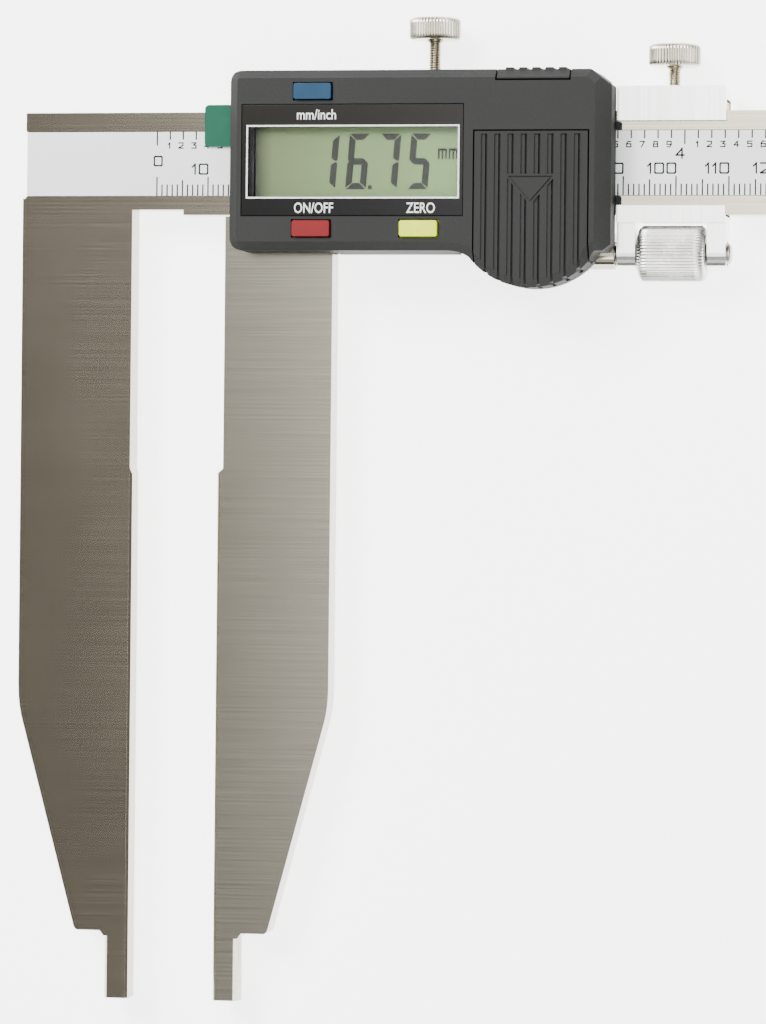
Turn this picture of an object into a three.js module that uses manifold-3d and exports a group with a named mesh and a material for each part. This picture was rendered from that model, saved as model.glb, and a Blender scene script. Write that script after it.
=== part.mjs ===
// Digital caliper with long jaws, a fine-feed block and a slide-off battery lid.
// Millimetres. It lies flat on its back: +X runs along the beam, away from the jaws,
// +Y points from the jaw tips to the beam, and +Z comes out of the display.
// Inside this file X is counted from the scale's zero and Y from the beam's centre line;
// the last lines move everything so that the footprint's centre is the origin.

import * as THREE from 'three';
import { mergeVertices } from 'three/addons/utils/BufferGeometryUtils.js';
import Module from 'manifold-3d';

const wasm = await Module();
wasm.setup();

// ---- driving dimensions ----------------------------------------------------------
const OPENING = 16.75;          // distance between the measuring faces as it lies here
const GAP = 0.3;                // play between neighbouring pieces
const THIN_GAP = 0.1;           // play under a glued-on strip

const BEAM_WIDTH = 19.6;
const BEAM_THICK = 6;
const BEAM_BACK_Z = 2.8;
const BEAM_FRONT_Z = BEAM_BACK_Z + BEAM_THICK;
const BEAM_MID_Z = BEAM_BACK_Z + BEAM_THICK / 2;
const BEAM_LEFT_X = -25.8;
const BEAM_RIGHT_X = 404;
const BEAM_HALF = BEAM_WIDTH / 2;
const GROOVE_HALF = 6.2;        // the scale lies in a shallow groove between two lands
const GROOVE_DEPTH = 1.2;

const JAW_WIDTH = 22;
const JAW_REACH = 150;          // from the beam's lower edge to the jaw tips
const FIXED_FACE_X = -4.35;
const MOVING_FACE_X = FIXED_FACE_X + OPENING;
const JAW_TIP_Y = -BEAM_HALF - JAW_REACH;
const FACE_TOP_Y = -59.2;       // above this the inner edges are relieved
const TAPER_TOP_Y = -103.6;
const TAPER_ANGLE = THREE.MathUtils.degToRad(15);
const NIB_TOP_Y = -146.9;
const NIB_WIDTH = 5;            // two nibs make the usual 10 mm for inside measuring
const FIXED_RELIEF = 0.4;
const MOVING_RELIEF = 1.1;
const FACE_CHAMFER = 0.5;

const FRAME_LEFT_X = 17.9;
const FRAME_RIGHT_X = 86.9;
const FRAME_BACK_Z = 0.7;
const FRAME_WALL_Z = BEAM_BACK_Z - GAP;
const LIP_Z = BEAM_FRONT_Z + GAP;
const FRAME_FRONT_Z = 10.6;
const FRAME_TOP_Y = 15.3;
const FRAME_BOTTOM_Y = -13.7;
const LIP_TOP_Y = 7.9;
const LIP_BOTTOM_Y = -8.1;
const GIB_THICK = 1.6;

const HOUSING_LEFT_X = 16.2;
const HOUSING_RIGHT_X = 88.6;
const HOUSING_HALF_Y = 17;
const HOUSING_FRONT_Z = 19.3;
const HOUSING_SKIRT_Z = 1.2;
const HOUSING_WALL = 1.4;
const HOUSING_BEVEL = 1.6;
const HOUSING_INNER_Z = 17.5;
const END_CHAMFER = { frontX: 86, sideZ: 15.3 };
const LOBE_X = 73.8;            // the battery lobe bulges below the housing
const LOBE_Y = -9;
const LOBE_RADIUS = 14.9;

const WINDOW = { x0: 18.8, x1: 61.1, y0: -10.5, y1: 10.4, thick: 0.7 };
const VIEW = { x0: 20.3, x1: 59.9, y0: -6.9, y1: 6.4 };
const LCD_TOP_Z = 16.9;
const LCD_THICK = 1.8;

const BUTTON_WIDTH = 7.2;
const BUTTON_HEIGHT = 3;
const BUTTON_PROUD = 0.8;
const BUTTON_PLAY = 0.25;
const UNITS_XY = [32.35, 12.9];
const POWER_XY = [32.25, -12.95];
const ZERO_XY = [52.8, -12.95];

const LID = { x0: 63.3, x1: 84.7, top: 5.3, z: 17.3, apronZ: 12.4, apron: 1.4 };
const RIB_PITCH = 2.51;
const RIB_COUNT = 8;
const FIRST_GROOVE_X = 65.5;

const CELL_RADIUS = 5.8;        // one LR44 button cell
const CELL_THICK = 5.4;
const CELL_XY = [74, -9.6];
const CELL_BOTTOM_Z = 11.5;

const PORT = { x0: 67.4, x1: 81.1, y: 15.1, z: 12.3 };

const TAB = { x0: 9.4, y0: 3.2, y1: 11.2, z: LIP_Z };

const BOARD_Z = 10.9;
const BOARD_THICK = 1;
const POSTS = [[20.9, 13.4], [84.2, 13.4], [39.2, -11.9], [59.2, -11.9]];

const BLOCK_LEFT_X = HOUSING_RIGHT_X + GAP;
const BLOCK_WIDTH = 20.6;
const BLOCK_RIGHT_X = BLOCK_LEFT_X + BLOCK_WIDTH;
const BLOCK_TOP_Y = 14.4;
const BLOCK_BOTTOM_Y = -11.3;
const BLOCK_FRONT_Z = 10.2;
const LUG_WIDTH = 3.5;
const LUG_RADIUS = 3.3;
const FEED_Y = -17;             // the fine-feed rod's axis, level with the beam's middle
const ROD_RADIUS = 2;           // M4 x 0.7
const ROD_END_X = 110.3;
const NUT_RADIUS = 5.3;

const KNOB_RADIUS = 4.9;
const KNOB_HEIGHT = 4.1;
const SCREW_RADIUS = 1.15;      // M2.5 x 0.45, drawn at its middle diameter
const CLAMP_X = 53.3;
const CLAMP_KNOB_Y = 23.6;
const FINE_CLAMP_X = 99.2;
const FINE_CLAMP_KNOB_Y = 18.3;

// ---- materials ---------------------------------------------------------------------
function material(color, roughness, metalness = 0) {
  return new THREE.MeshStandardMaterial({ color, roughness, metalness });
}

const jawSteel = () => material(0x8c877c, 0.36, 1);
const slideSteel = () => material(0xa9a698, 0.34, 1);
const nickel = () => material(0xc6c5be, 0.24, 1);
const screwSteel = () => material(0x9a9a96, 0.3, 1);
const casePlastic = () => material(0x525553, 0.62);
const circuit = () => material(0x24573a, 0.55);
const contactMetal = () => material(0xcbb87a, 0.3, 1);

// ---- solids ------------------------------------------------------------------------
function solidOf(geometry) {
  const bare = geometry.clone();
  bare.deleteAttribute('normal');
  bare.deleteAttribute('uv');
  const merged = mergeVertices(bare, 1e-4);
  const vertProperties = new Float32Array(merged.attributes.position.array);
  const triVerts = new Uint32Array(merged.index.array);
  return new wasm.Manifold(new wasm.Mesh({ numProp: 3, vertProperties, triVerts }));
}

function geometryOf(solid) {
  const mesh = solid.getMesh();
  const geometry = new THREE.BufferGeometry();
  geometry.setAttribute('position', new THREE.BufferAttribute(mesh.vertProperties, 3));
  geometry.setIndex(new THREE.BufferAttribute(mesh.triVerts, 1));
  geometry.computeVertexNormals();
  return geometry;
}

function box(x0, x1, y0, y1, z0, z1) {
  const geometry = new THREE.BoxGeometry(x1 - x0, y1 - y0, z1 - z0);
  geometry.translate((x0 + x1) / 2, (y0 + y1) / 2, (z0 + z1) / 2);
  return solidOf(geometry);
}

// A cylinder along an axis letter, centred on the two other coordinates.
function rod(axis, radius, from, to, u, v, sides = 24) {
  const geometry = new THREE.CylinderGeometry(radius, radius, to - from, sides);
  const middle = (from + to) / 2;
  if (axis === 'x') geometry.rotateZ(Math.PI / 2).translate(middle, u, v);
  if (axis === 'y') geometry.translate(u, middle, v);
  if (axis === 'z') geometry.rotateX(Math.PI / 2).translate(u, v, middle);
  return solidOf(geometry);
}

// The outline with its curves cut into segments and its doubled points left out.
function outline(shape, curveSegments) {
  const points = shape.getPoints(curveSegments);
  const apart = (point, other) => point.distanceTo(other) > 1e-3;
  const kept = points.filter((point, i) => apart(point, points[(i + 1) % points.length]));
  return new THREE.Shape(kept);
}

function prism(shape, z0, z1, curveSegments = 10) {
  const options = { depth: z1 - z0, bevelEnabled: false };
  const geometry = new THREE.ExtrudeGeometry(outline(shape, curveSegments), options);
  return solidOf(geometry.translate(0, 0, z0));
}

// A triangular strip that takes the corner off an edge running along Y.
function edgeCut(x, z, size, y0, y1) {
  const shape = new THREE.Shape();
  shape.moveTo(-size, 0);
  shape.lineTo(0, -size);
  shape.lineTo(size, 0);
  shape.lineTo(0, size);
  const geometry = new THREE.ExtrudeGeometry(shape, { depth: y1 - y0, bevelEnabled: false });
  return solidOf(geometry.rotateX(Math.PI / 2).translate(x, y1, z));
}

function roundedPlate(x0, x1, y0, y1, z0, z1, radius) {
  const shape = new THREE.Shape();
  shape.moveTo(x0 + radius, y0);
  shape.lineTo(x1 - radius, y0);
  shape.absarc(x1 - radius, y0 + radius, radius, -Math.PI / 2, 0);
  shape.lineTo(x1, y1 - radius);
  shape.absarc(x1 - radius, y1 - radius, radius, 0, Math.PI / 2);
  shape.lineTo(x0 + radius, y1);
  shape.absarc(x0 + radius, y1 - radius, radius, Math.PI / 2, Math.PI);
  shape.lineTo(x0, y0 + radius);
  shape.absarc(x0 + radius, y0 + radius, radius, Math.PI, Math.PI * 1.5);
  return prism(shape, z0, z1, 5);
}

function node(name, shape, look) {
  const geometry = shape.isBufferGeometry ? shape : geometryOf(shape);
  const mesh = new THREE.Mesh(geometry, look);
  mesh.name = name;
  return mesh;
}

function at(mesh, x, y, z) {
  mesh.position.set(x, y, z);
  return mesh;
}

// ---- beam and fixed jaw --------------------------------------------------------------
// One jaw seen from the front. side is -1 for the fixed jaw and +1 for the moving one;
// the measuring face is at faceX and the jaw lies on the given side of it.
function jawShape(faceX, side, topY, relief) {
  const out = (distance) => faceX + side * distance;
  const taper = (TAPER_TOP_Y - NIB_TOP_Y) * Math.tan(TAPER_ANGLE);
  const shape = new THREE.Shape();
  shape.moveTo(out(relief), topY);
  shape.lineTo(out(relief), FACE_TOP_Y + 1);
  shape.lineTo(out(0), FACE_TOP_Y);
  shape.lineTo(out(0), NIB_TOP_Y - 1);
  shape.lineTo(out(NIB_WIDTH - 0.3), NIB_TOP_Y - 1);
  shape.lineTo(out(NIB_WIDTH + 0.5), NIB_TOP_Y);
  shape.lineTo(out(JAW_WIDTH - taper - 0.6), NIB_TOP_Y);
  shape.quadraticCurveTo(out(JAW_WIDTH - taper), NIB_TOP_Y, out(JAW_WIDTH - taper + 0.3), NIB_TOP_Y + 1);
  shape.lineTo(out(JAW_WIDTH - 0.8), TAPER_TOP_Y - 3);
  shape.quadraticCurveTo(out(JAW_WIDTH), TAPER_TOP_Y, out(JAW_WIDTH), TAPER_TOP_Y + 4);
  shape.lineTo(out(JAW_WIDTH), topY);
  return shape;
}

function nib(faceX, side) {
  const out = faceX + side * NIB_WIDTH;
  const block = box(Math.min(faceX, out), Math.max(faceX, out), JAW_TIP_Y, NIB_TOP_Y - 0.5,
    BEAM_BACK_Z, BEAM_FRONT_Z);
  const round = rod('y', NIB_WIDTH, JAW_TIP_Y - 1, NIB_TOP_Y + 1, faceX, BEAM_MID_Z, 64);
  return block.intersect(round);
}

function jaw(faceX, side, topY, relief) {
  let solid = prism(jawShape(faceX, side, topY, relief), BEAM_BACK_Z, BEAM_FRONT_Z, 6);
  solid = solid.add(nib(faceX, side));
  for (const z of [BEAM_BACK_Z, BEAM_FRONT_Z]) {
    solid = solid.subtract(edgeCut(faceX, z, FACE_CHAMFER, JAW_TIP_Y - 1, FACE_TOP_Y));
  }
  return solid;
}

function beamWithFixedJaw() {
  const fixedJaw = jaw(FIXED_FACE_X, -1, -6.6, FIXED_RELIEF);
  const beam = box(BEAM_LEFT_X, BEAM_RIGHT_X, -BEAM_HALF, BEAM_HALF, BEAM_BACK_Z, BEAM_FRONT_Z);
  const groove = box(BEAM_LEFT_X - 1, BEAM_RIGHT_X + 1, -GROOVE_HALF, GROOVE_HALF,
    BEAM_FRONT_Z - GROOVE_DEPTH, BEAM_FRONT_Z + 1);
  const cornerRelief = box(FIXED_FACE_X - FIXED_RELIEF, FIXED_FACE_X + 9.6, -BEAM_HALF - 1,
    -BEAM_HALF + 1, BEAM_BACK_Z - 1, BEAM_FRONT_Z + 1);
  let solid = beam.add(fixedJaw).subtract(groove).subtract(cornerRelief);
  for (const y of STOP_SCREW_Y) {
    solid = solid.subtract(rod('x', 1.5, BEAM_RIGHT_X - 8, BEAM_RIGHT_X + 1, y, BEAM_MID_Z, 16));
  }
  return solid;
}

const STOP_SCREW_Y = [-4.6, 4.6];
const STOP_THICK = 2;
const CIRCUIT_BACK_Z = BEAM_FRONT_Z - GROOVE_DEPTH + THIN_GAP;
const LABEL_BACK_Z = CIRCUIT_BACK_Z + 0.5 + THIN_GAP;
const LABEL_FRONT_Z = BEAM_FRONT_Z - THIN_GAP;
const STRIP_HALF = GROOVE_HALF - THIN_GAP;

function scaleStrip(z0, z1) {
  return box(BEAM_LEFT_X + 0.2, BEAM_RIGHT_X - 0.2, -STRIP_HALF, STRIP_HALF, z0, z1);
}

function endStopPlate() {
  const x0 = BEAM_RIGHT_X + GAP;
  let plate = box(x0, x0 + STOP_THICK, -12.8, 12.8, 0.4, 10.4);
  for (const y of STOP_SCREW_Y) {
    plate = plate.subtract(rod('x', 1.5, x0 - 1, x0 + STOP_THICK + 1, y, BEAM_MID_Z, 16));
  }
  return plate;
}

// A pan-head screw whose head sits at the origin and whose shank points along +Y.
function panScrew(headRadius, headHeight, shankRadius, shankLength) {
  const profile = [
    [0, -headHeight], [headRadius * 0.8, -headHeight], [headRadius, -headHeight * 0.6],
    [headRadius, 0], [shankRadius, 0], [shankRadius, shankLength - 0.5],
    [shankRadius - 0.4, shankLength], [0, shankLength],
  ].map(([x, y]) => new THREE.Vector2(x, y));
  return new THREE.LatheGeometry(profile, 20);
}

function endStopScrew(number, y) {
  const screw = node(`end_stop_screw_${number}`, panScrew(2.3, 1.5, 1.1, 8), screwSteel());
  screw.rotation.z = Math.PI / 2;
  return at(screw, BEAM_RIGHT_X + GAP + STOP_THICK + THIN_GAP, y, BEAM_MID_Z);
}

function beamGroup() {
  const group = new THREE.Group();
  group.add(node('beam_with_fixed_jaw', beamWithFixedJaw(), jawSteel()));
  group.add(node('scale_circuit_strip', scaleStrip(CIRCUIT_BACK_Z, CIRCUIT_BACK_Z + 0.5), circuit()));
  group.add(node('scale_label', scaleStrip(LABEL_BACK_Z, LABEL_FRONT_Z), material(0xdde2de, 0.45)));
  group.add(node('end_stop_plate', endStopPlate(), slideSteel()));
  STOP_SCREW_Y.forEach((y, index) => group.add(endStopScrew(index + 1, y)));
  return group;
}

// ---- slider frame with the moving jaw ----------------------------------------------------
// A channel round the beam: back wall, top wall behind the gib, bottom wall, two front lips.
function channel(x0, x1, topY, gibThick, bottomY, frontZ) {
  const gibSpace = BEAM_HALF + gibThick + 2 * GAP;
  const back = box(x0, x1, bottomY, topY, FRAME_BACK_Z, FRAME_WALL_Z);
  const top = box(x0, x1, gibSpace, topY, FRAME_BACK_Z, frontZ);
  const bottom = box(x0, x1, bottomY, -BEAM_HALF - GAP, FRAME_BACK_Z, frontZ);
  const upperLip = box(x0, x1, LIP_TOP_Y, topY, LIP_Z, frontZ);
  const lowerLip = box(x0, x1, bottomY, LIP_BOTTOM_Y, LIP_Z, frontZ);
  return back.add(top).add(bottom).add(upperLip).add(lowerLip);
}

// A lug that hangs below the beam and is round at its lower end, with a hole along X.
function feedLug(x0, x1, topY, radius) {
  const arm = box(x0, x1, FEED_Y, topY, BEAM_MID_Z - radius, BEAM_MID_Z + radius);
  const end = rod('x', radius, x0, x1, FEED_Y, BEAM_MID_Z, 32);
  return arm.add(end);
}

const SET_SCREW_X = [31, 76];
const SLIDER_LUG_RADIUS = 3;
const SLIDER_LUG = { x0: 83.5, x1: 88.3 };
const ROD_HOLE_RADIUS = ROD_RADIUS + GAP;
const THREAD_HOLE_RADIUS = SCREW_RADIUS + GAP;

function sliderFrame() {
  let solid = channel(FRAME_LEFT_X, FRAME_RIGHT_X, FRAME_TOP_Y, GIB_THICK, FRAME_BOTTOM_Y, FRAME_FRONT_Z);
  solid = solid.add(jaw(MOVING_FACE_X, 1, -BEAM_HALF - GAP, MOVING_RELIEF));
  solid = solid.add(feedLug(SLIDER_LUG.x0, SLIDER_LUG.x1, FRAME_BOTTOM_Y + 0.5, SLIDER_LUG_RADIUS));
  solid = solid.subtract(rod('x', ROD_HOLE_RADIUS, SLIDER_LUG.x0 - 1, SLIDER_LUG.x1 + 1,
    FEED_Y, BEAM_MID_Z, 24));
  solid = solid.subtract(rod('y', THREAD_HOLE_RADIUS, BEAM_HALF + 1, FRAME_TOP_Y + 1,
    CLAMP_X, BEAM_MID_Z, 20));
  for (const x of SET_SCREW_X) {
    solid = solid.subtract(rod('y', 1.3, BEAM_HALF + 1, FRAME_TOP_Y + 1, x, BEAM_MID_Z, 16));
  }
  for (const [x, y] of POSTS) {
    solid = solid.subtract(rod('z', 1.3, 0, FRAME_FRONT_Z + 1, x, y, 16));
    solid = solid.subtract(rod('z', 2, 0, FRAME_BACK_Z + 1.3, x, y, 20));
  }
  return solid;
}

function setScrew(number, x) {
  const screw = solidOf(new THREE.CylinderGeometry(1, 1, 2.6, 16));
  const socket = rod('y', 0.5, 0.5, 2, 0, 0, 6);
  const mesh = node(`gib_set_screw_${number}`, screw.subtract(socket), screwSteel());
  return at(mesh, x, FRAME_TOP_Y - 1.5, BEAM_MID_Z);
}

function gib(name, x0, x1, thick) {
  const y0 = BEAM_HALF + GAP;
  const strip = box(x0, x1, y0, y0 + thick, BEAM_BACK_Z + GAP, BEAM_FRONT_Z - GAP);
  return node(name, strip, material(0xb59a52, 0.4, 1));
}

// A knurled thumb screw standing along Y; its tip rests on a gib at tipY.
function thumbScrew(name, x, tipY, knobY) {
  const profile = [
    [0, tipY], [SCREW_RADIUS - 0.35, tipY], [SCREW_RADIUS, tipY + 0.4], [SCREW_RADIUS, knobY],
    [KNOB_RADIUS - 0.5, knobY], [KNOB_RADIUS, knobY + 0.5],
    [KNOB_RADIUS, knobY + KNOB_HEIGHT - 0.5], [KNOB_RADIUS - 0.5, knobY + KNOB_HEIGHT],
    [0, knobY + KNOB_HEIGHT],
  ].map(([r, y]) => new THREE.Vector2(r, y));
  return at(node(name, new THREE.LatheGeometry(profile, 36), nickel()), x, 0, BEAM_MID_Z);
}

// ---- housing -----------------------------------------------------------------------------
function housingShape() {
  const left = HOUSING_LEFT_X;
  const right = HOUSING_RIGHT_X;
  const half = HOUSING_HALF_Y;
  const start = Math.PI + Math.asin(0.62);
  const end = -Math.asin(0.66);
  const lobe = (angle) => [LOBE_X + LOBE_RADIUS * Math.cos(angle), LOBE_Y + LOBE_RADIUS * Math.sin(angle)];
  const [startX, startY] = lobe(start);
  const [endX, endY] = lobe(end);
  const shape = new THREE.Shape();
  shape.moveTo(left + 2.6, -half);
  shape.lineTo(57.6, -half);
  shape.quadraticCurveTo(60.4, -half, startX, startY);
  shape.absarc(LOBE_X, LOBE_Y, LOBE_RADIUS, start, end + 2 * Math.PI);
  shape.quadraticCurveTo(endX + 0.4, -half, endX + 1.2, -half);
  shape.lineTo(right - 1.3, -half);
  shape.lineTo(right, -half + 1.3);
  shape.lineTo(right, half - 2.8);
  shape.lineTo(right - 3.6, half);
  shape.lineTo(left + 2.4, half);
  shape.quadraticCurveTo(left, half, left, half - 2.4);
  shape.lineTo(left, -half + 3);
  shape.quadraticCurveTo(left, -half, left + 2.6, -half);
  return shape;
}

// The housing's outside as one full body, bevelled round its front face.
function housingBody() {
  const depth = HOUSING_FRONT_Z - HOUSING_SKIRT_Z - HOUSING_BEVEL;
  const geometry = new THREE.ExtrudeGeometry(outline(housingShape(), 10), {
    depth,
    bevelThickness: HOUSING_BEVEL,
    bevelSize: HOUSING_BEVEL,
    bevelOffset: -HOUSING_BEVEL,
    bevelSegments: 1,
  });
  const below = box(0, 120, -40, 40, HOUSING_SKIRT_Z - 5, HOUSING_SKIRT_Z);
  return solidOf(geometry.translate(0, 0, HOUSING_SKIRT_Z)).subtract(below).subtract(endChamfer());
}

// The right end slopes back further than the bevel.
function endChamfer() {
  const { frontX, sideZ } = END_CHAMFER;
  const shape = new THREE.Shape();
  shape.moveTo(frontX, HOUSING_FRONT_Z);
  shape.lineTo(HOUSING_RIGHT_X, sideZ);
  shape.lineTo(HOUSING_RIGHT_X + 1, sideZ);
  shape.lineTo(HOUSING_RIGHT_X + 1, HOUSING_FRONT_Z + 1);
  shape.lineTo(frontX, HOUSING_FRONT_Z + 1);
  return prism(shape, -40, 40).rotate([90, 0, 0]);
}

// The band along the lobe's rim that the lid's apron fills.
function lobeRim(body, depth, side, zFrom) {
  const region = box(LID.x0 - side, LID.x1 + side, -40, -16, zFrom, LID.z + 1);
  const core = rod('z', LOBE_RADIUS - depth, 0, 30, LOBE_X, LOBE_Y, 64);
  return body.intersect(region).subtract(core);
}

function buttonHole([x, y]) {
  const w = BUTTON_WIDTH / 2 + BUTTON_PLAY;
  const h = BUTTON_HEIGHT / 2 + BUTTON_PLAY;
  return box(x - w, x + w, y - h, y + h, HOUSING_INNER_Z - 1, HOUSING_FRONT_Z + 1);
}

function housing(body) {
  const inner = HOUSING_HALF_Y - HOUSING_WALL;
  const farLeft = HOUSING_LEFT_X - 2;
  const farRight = HOUSING_RIGHT_X + 2;
  const [cellX, cellY] = CELL_XY;
  const cuts = [
    // room for the beam and the slider frame
    box(farLeft, farRight, -inner, inner, 0, LIP_Z),
    box(HOUSING_LEFT_X + HOUSING_WALL, HOUSING_RIGHT_X - HOUSING_WALL, -inner, inner, 0, BOARD_Z),
    // room for the board and the display, and beside the battery
    box(HOUSING_LEFT_X + HOUSING_WALL, 62.6, -inner, inner, 0, HOUSING_INNER_Z),
    box(62, HOUSING_RIGHT_X - HOUSING_WALL, 6.7, inner - 0.9, 0, END_CHAMFER.sideZ - 2),
    box(62, END_CHAMFER.frontX - 1, 6.7, inner - 0.9, 0, HOUSING_INNER_Z),
    // the lobe stands clear of the bench and is hollow from behind
    box(58, farRight, -40, -inner, 0, LIP_Z),
    box(66, 82, -21, -17, LIP_Z - 1, 15),
    // the moving jaw leaves through the lower skirt
    box(farLeft, MOVING_FACE_X + JAW_WIDTH + GAP, -40, -inner + 1, 0, LIP_Z),
    // display window seat and the opening under it
    box(WINDOW.x0 - 0.15, WINDOW.x1 + 0.15, WINDOW.y0 - 0.15, WINDOW.y1 + 0.15,
      HOUSING_FRONT_Z - WINDOW.thick - THIN_GAP, HOUSING_FRONT_Z + 1),
    box(VIEW.x0 - 0.6, VIEW.x1 + 0.6, VIEW.y0 - 0.6, VIEW.y1 + 0.6, HOUSING_INNER_Z - 1, HOUSING_FRONT_Z + 1),
    // battery well with a slot for its lower contact, and a slot for the side contact
    rod('z', CELL_RADIUS + GAP, BOARD_Z, HOUSING_FRONT_Z + 1, cellX, cellY, 40),
    box(61, cellX, cellY - 2.3, cellY + 2.3, BOARD_Z - 1, CELL_BOTTOM_Z),
    box(cellX - 2.3, cellX + 2.3, cellY, 7, BOARD_Z + 0.4, CELL_BOTTOM_Z + CELL_THICK),
    // lid seat
    box(LID.x0 - GAP, LID.x1 + GAP, -40, LID.top + GAP, LID.z - GAP, HOUSING_FRONT_Z + 1),
    lobeRim(body, LID.apron + GAP, GAP, LID.apronZ - GAP),
    // data port seat and the way in to the connector
    box(PORT.x0 - GAP, PORT.x1 + GAP, PORT.y - GAP, HOUSING_HALF_Y + 1, PORT.z - GAP, HOUSING_FRONT_Z + 1),
    box(69.4, 79.2, 13, 16, 12.6, 16),
    // clamp screw passes through the upper skirt
    rod('y', THREAD_HOLE_RADIUS + 0.2, inner - 1, HOUSING_HALF_Y + 1, CLAMP_X, BEAM_MID_Z, 20),
    buttonHole(UNITS_XY),
    buttonHole(POWER_XY),
    buttonHole(ZERO_XY),
  ];
  let solid = cuts.reduce((shell, cut) => shell.subtract(cut), body);
  for (const [x, y] of POSTS) {
    const post = rod('z', 2, FRAME_FRONT_Z + GAP, HOUSING_INNER_Z + 0.5, x, y, 20);
    const hole = rod('z', 1.3, 0, 15.4, x, y, 16);
    solid = solid.add(post).subtract(hole);
  }
  return solid;
}

function housingScrew(number, [x, y]) {
  const screw = node(`housing_screw_${number}`, panScrew(1.7, 1, 0.95, 12.6), screwSteel());
  screw.rotation.x = Math.PI / 2;
  return at(screw, x, y, FRAME_BACK_Z + 1);
}

// ---- battery lid ---------------------------------------------------------------------------
function lidTriangle(grow, z0, z1) {
  const shape = new THREE.Shape();
  shape.moveTo(69.95 - 2 * grow, -3.25 + grow);
  shape.lineTo(73.95, -7.8 - 1.4 * grow);
  shape.lineTo(77.95 + 2 * grow, -3.25 + grow);
  return prism(shape, z0, z1);
}

// Each groove is a shallow band with a deeper slit along its right side.
function lidGroove(x, z) {
  const low = -40;
  const high = 4.8;
  const band = box(x - 0.95, x - 0.2, low, high, z - 0.35, z + 1);
  const slit = box(x - 0.22, x + 0.22, low, high, z - 1.2, z + 1);
  return band.add(slit);
}

// The same grooves run on down the lid's rounded apron.
function apronGroove(x) {
  const ring = rod('z', LOBE_RADIUS + 3, 0, 30, LOBE_X, LOBE_Y, 64);
  const core = rod('z', LOBE_RADIUS - 0.45, -1, 31, LOBE_X, LOBE_Y, 64);
  const region = box(x - 0.5, x + 0.22, -40, LOBE_Y, LID.apronZ - 1, HOUSING_FRONT_Z + 1);
  return ring.subtract(core).intersect(region);
}

function batteryLid(body) {
  const plate = body.intersect(box(LID.x0, LID.x1, -40, LID.top, LID.z, HOUSING_FRONT_Z + 1));
  let solid = plate.add(lobeRim(body, LID.apron, 0, LID.apronZ));
  for (let i = 0; i < RIB_COUNT; i += 1) {
    const x = FIRST_GROOVE_X + i * RIB_PITCH;
    solid = solid.subtract(lidGroove(x, HOUSING_FRONT_Z)).subtract(apronGroove(x));
  }
  const level = HOUSING_FRONT_Z;
  const pad = lidTriangle(0.55, LID.z + 0.5, level);
  const line = lidTriangle(0.14, level - 0.3, level + 1).subtract(lidTriangle(-0.14, level - 1, level + 2));
  return solid.add(pad).subtract(line);
}

// ---- display and electronics ---------------------------------------------------------------
function displayWindow() {
  const z1 = HOUSING_FRONT_Z - 0.05;
  return roundedPlate(WINDOW.x0, WINDOW.x1, WINDOW.y0, WINDOW.y1, z1 - WINDOW.thick, z1, 0.8);
}

function lcdGlass() {
  return box(21, 61.2, -8.4, 8.2, LCD_TOP_Z - LCD_THICK, LCD_TOP_Z);
}

function lcdFrame() {
  const outer = box(19.4, 62.3, -9.8, 9.8, BOARD_Z + BOARD_THICK + THIN_GAP, LCD_TOP_Z + 0.3);
  const hole = box(20.8, 61.4, -8.7, 8.5, BOARD_Z, LCD_TOP_Z + 1);
  return outer.subtract(hole);
}

function zebraStrip(name, y) {
  const z0 = BOARD_Z + BOARD_THICK + THIN_GAP;
  const strip = box(22, 60, y - 1, y + 1, z0, LCD_TOP_Z - LCD_THICK - THIN_GAP);
  return node(name, strip, material(0xc9a0a4, 0.8));
}

function mainBoard() {
  const z1 = BOARD_Z + BOARD_THICK;
  let board = box(18.3, 62.2, -14.9, 14.9, BOARD_Z + GAP / 3, z1);
  board = board.add(box(60, 86.4, 7.2, 14, BOARD_Z + GAP / 3, z1));
  for (const [x, y] of POSTS) {
    board = board.subtract(rod('z', 2.4, 0, 20, x, y, 20));
  }
  return board;
}

function tactSwitch(name, [x, y]) {
  const z0 = BOARD_Z + BOARD_THICK + THIN_GAP;
  const body = box(-3, 3, -1.75, 1.75, z0, z0 + 2.6);
  const stem = box(-0.9, 0.9, -0.6, 0.6, z0 + 2.5, 16);
  return at(node(name, body.add(stem), material(0x2a2a2c, 0.5)), x, y, 0);
}

function coinCell() {
  const half = CELL_THICK / 2;
  const profile = [
    [0, -half], [CELL_RADIUS - 1.1, -half], [CELL_RADIUS - 0.9, -half + 0.5],
    [CELL_RADIUS - 0.2, -half + 0.5], [CELL_RADIUS, -half + 0.7], [CELL_RADIUS, half - 0.3],
    [CELL_RADIUS - 0.3, half], [0, half],
  ].map(([r, y]) => new THREE.Vector2(r, y));
  const geometry = new THREE.LatheGeometry(profile, 40).rotateX(Math.PI / 2);
  const mesh = node('coin_cell', geometry, material(0xb9bab8, 0.28, 1));
  return at(mesh, CELL_XY[0], CELL_XY[1], CELL_BOTTOM_Z + half);
}

function negativeContact() {
  const [x, y] = CELL_XY;
  return box(62.6, x + 3, y - 1.8, y + 1.8, BOARD_Z + 0.15, BOARD_Z + 0.4);
}

function positiveContact() {
  const [x, y] = CELL_XY;
  const y0 = y + CELL_RADIUS + 0.15;
  const wall = box(x - 1.8, x + 1.8, y0, y0 + 0.35, 11.6, 16.4);
  const foot = box(x - 1.8, x + 1.8, y0, 6.8, 11.6, 11.9);
  return wall.add(foot);
}

function dataPortConnector() {
  let block = box(69.7, 78.9, 9.5, 14.4, BOARD_Z + BOARD_THICK + THIN_GAP, 15.8);
  for (let i = 0; i < 4; i += 1) {
    const x = 71.2 + i * 2.07;
    block = block.subtract(box(x - 0.5, x + 0.5, 12, 15, 13.4, 14.6));
  }
  return block;
}

function readerBoard() {
  return box(19, 61, -5.9, 5.9, LIP_Z, LIP_Z + 0.8);
}

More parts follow.
